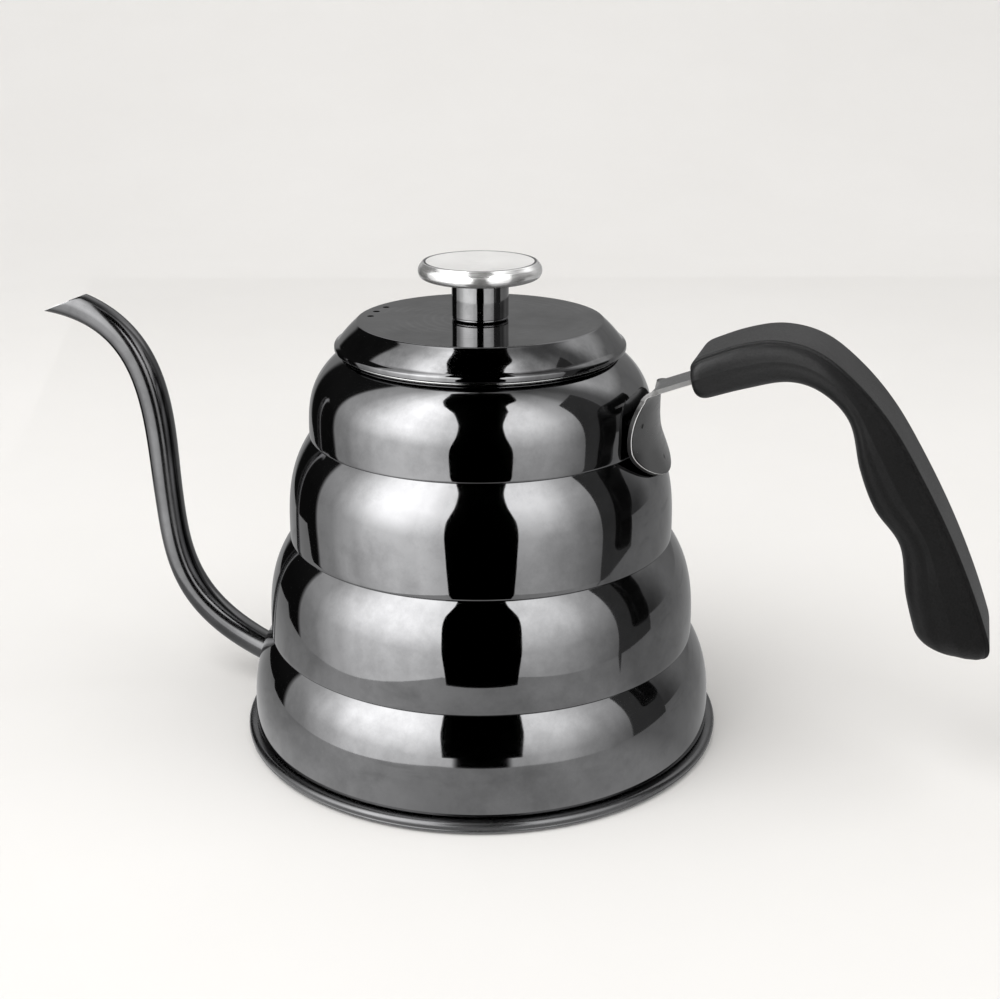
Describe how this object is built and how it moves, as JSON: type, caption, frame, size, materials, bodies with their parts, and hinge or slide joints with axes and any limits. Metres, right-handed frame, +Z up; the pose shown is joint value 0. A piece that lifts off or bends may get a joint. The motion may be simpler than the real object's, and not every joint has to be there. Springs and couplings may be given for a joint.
{
  "type": "gooseneck kettle",
  "caption": "Stovetop pour-over kettle with a ringed conical steel body, long curved gooseneck spout, lift-off knobbed lid and a downswept side grip on a steel strap.",
  "frame": {"origin": "middle of the flat underside of the base cap, on the body's axis", "axes": "+Z up along the body's axis, +X towards the handle, -X towards the spout"},
  "size_m": [0.2934, 0.145, 0.1432],
  "materials": {
    "body_steel": "mirror-polished steel with a dark nickel tone",
    "spout_steel": "mirror-polished steel with a dark nickel tone",
    "rim_steel": "dark satin rolled edge",
    "cap_steel": "satin stainless steel",
    "strap_steel": "polished steel sheet",
    "knob_steel": "bright turned steel",
    "fixing_steel": "plain steel fixing",
    "spreader_aluminium": "plain rolled aluminium",
    "insert_brass": "plain brass",
    "grip_phenolic": "fine-textured black moulded resin"
  },
  "bodies": {
    "kettle": {"body_shell": "body_steel", "base_pan": "rim_steel", "heat_spreader": "spreader_aluminium", "base_cap": "cap_steel", "spout_tube": "spout_steel", "spout_weld": "spout_steel", "handle_bracket": "strap_steel", "spot_weld_upper_front": "strap_steel", "spot_weld_upper_rear": "strap_steel", "spot_weld_lower": "strap_steel", "handle_grip": "grip_phenolic", "grip_screw": "fixing_steel", "grip_nut": "fixing_steel"},
    "lid": {"lid_cover": "body_steel", "lid_skirt": "cap_steel", "knob_cap": "knob_steel", "knob_neck": "spout_steel", "knob_foot_washer": "rim_steel", "knob_insert": "insert_brass", "lid_screw": "fixing_steel", "lid_flat_washer": "fixing_steel", "lid_spring_washer": "fixing_steel"}
  },
  "joints": [
    {"name": "lid_lift", "type": "slide", "parent": "kettle", "child": "lid", "axis": [0, 0, 1], "range_m": [0, 0.06]}
  ]
}
